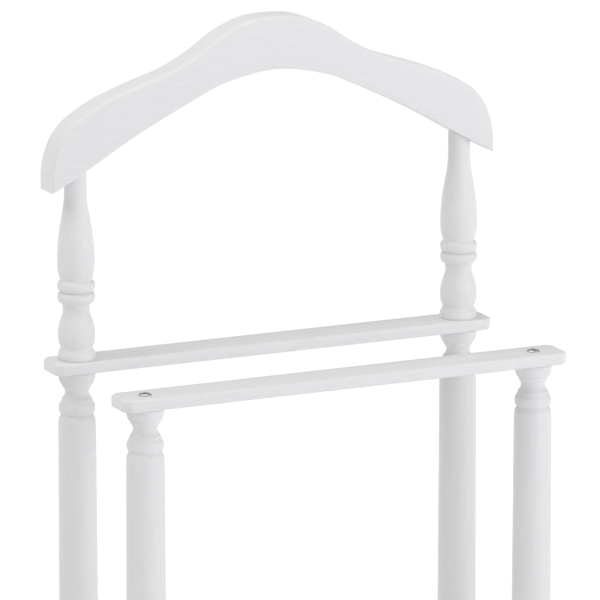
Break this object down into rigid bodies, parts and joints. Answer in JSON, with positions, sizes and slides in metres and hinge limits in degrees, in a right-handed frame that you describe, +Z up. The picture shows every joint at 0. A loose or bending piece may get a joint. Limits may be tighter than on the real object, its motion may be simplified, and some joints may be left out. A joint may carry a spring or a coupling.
{
  "type": "valet stand",
  "caption": "Free-standing clothes valet with an arched hanger on turned spindles, turned posts, a front trouser bar and a slatted shoe rack.",
  "frame": {"origin": "centre of the underside of the stand, on the floor that its glides rest on", "axes": "+Z up; +Y towards the back, where the hanger is; +X to the right of someone facing the front"},
  "size_m": [0.459, 0.306, 1.068],
  "materials": {
    "white_lacquer": "satin white lacquer over turned and planed wood",
    "chrome": "polished",
    "zinc_steel": "bright zinc plate",
    "brass": "machined",
    "nylon": "matte"
  },
  "bodies": {
    "root": {"front_foot_insert_left": "brass", "front_foot_insert_right": "brass", "front_foot_left": "white_lacquer", "front_foot_right": "white_lacquer", "front_foot_stud_left": "zinc_steel", "front_foot_stud_right": "zinc_steel", "front_glide_left": "nylon", "front_glide_right": "nylon", "front_post_left": "white_lacquer", "front_post_right": "white_lacquer", "front_runner_bolt_left": "zinc_steel", "front_runner_bolt_right": "zinc_steel", "front_top_insert_left": "brass", "front_top_insert_right": "brass", "hanger": "white_lacquer", "rear_foot_insert_left": "brass", "rear_foot_insert_right": "brass", "rear_foot_left": "white_lacquer", "rear_foot_right": "white_lacquer", "rear_foot_stud_left": "zinc_steel", "rear_foot_stud_right": "zinc_steel", "rear_glide_left": "nylon", "rear_glide_right": "nylon", "rear_post_left": "white_lacquer", "rear_post_right": "white_lacquer", "rear_rail": "white_lacquer", "rear_runner_bolt_left": "zinc_steel", "rear_runner_bolt_right": "zinc_steel", "rear_top_insert_left": "brass", "rear_top_insert_right": "brass", "runner_left": "white_lacquer", "runner_right": "white_lacquer", "slat_1": "white_lacquer", "slat_1_screw_left": "chrome", "slat_1_screw_right": "chrome", "slat_2": "white_lacquer", "slat_2_screw_left": "chrome", "slat_2_screw_right": "chrome", "slat_3": "white_lacquer", "slat_3_screw_left": "chrome", "slat_3_screw_right": "chrome", "slat_4": "white_lacquer", "slat_4_screw_left": "chrome", "slat_4_screw_right": "chrome", "spindle_left": "white_lacquer", "spindle_right": "white_lacquer", "spindle_stud_left": "zinc_steel", "spindle_stud_right": "zinc_steel", "trouser_bar": "white_lacquer", "trouser_bar_bolt_left": "chrome", "trouser_bar_bolt_right": "chrome"}
  },
  "joints": []
}
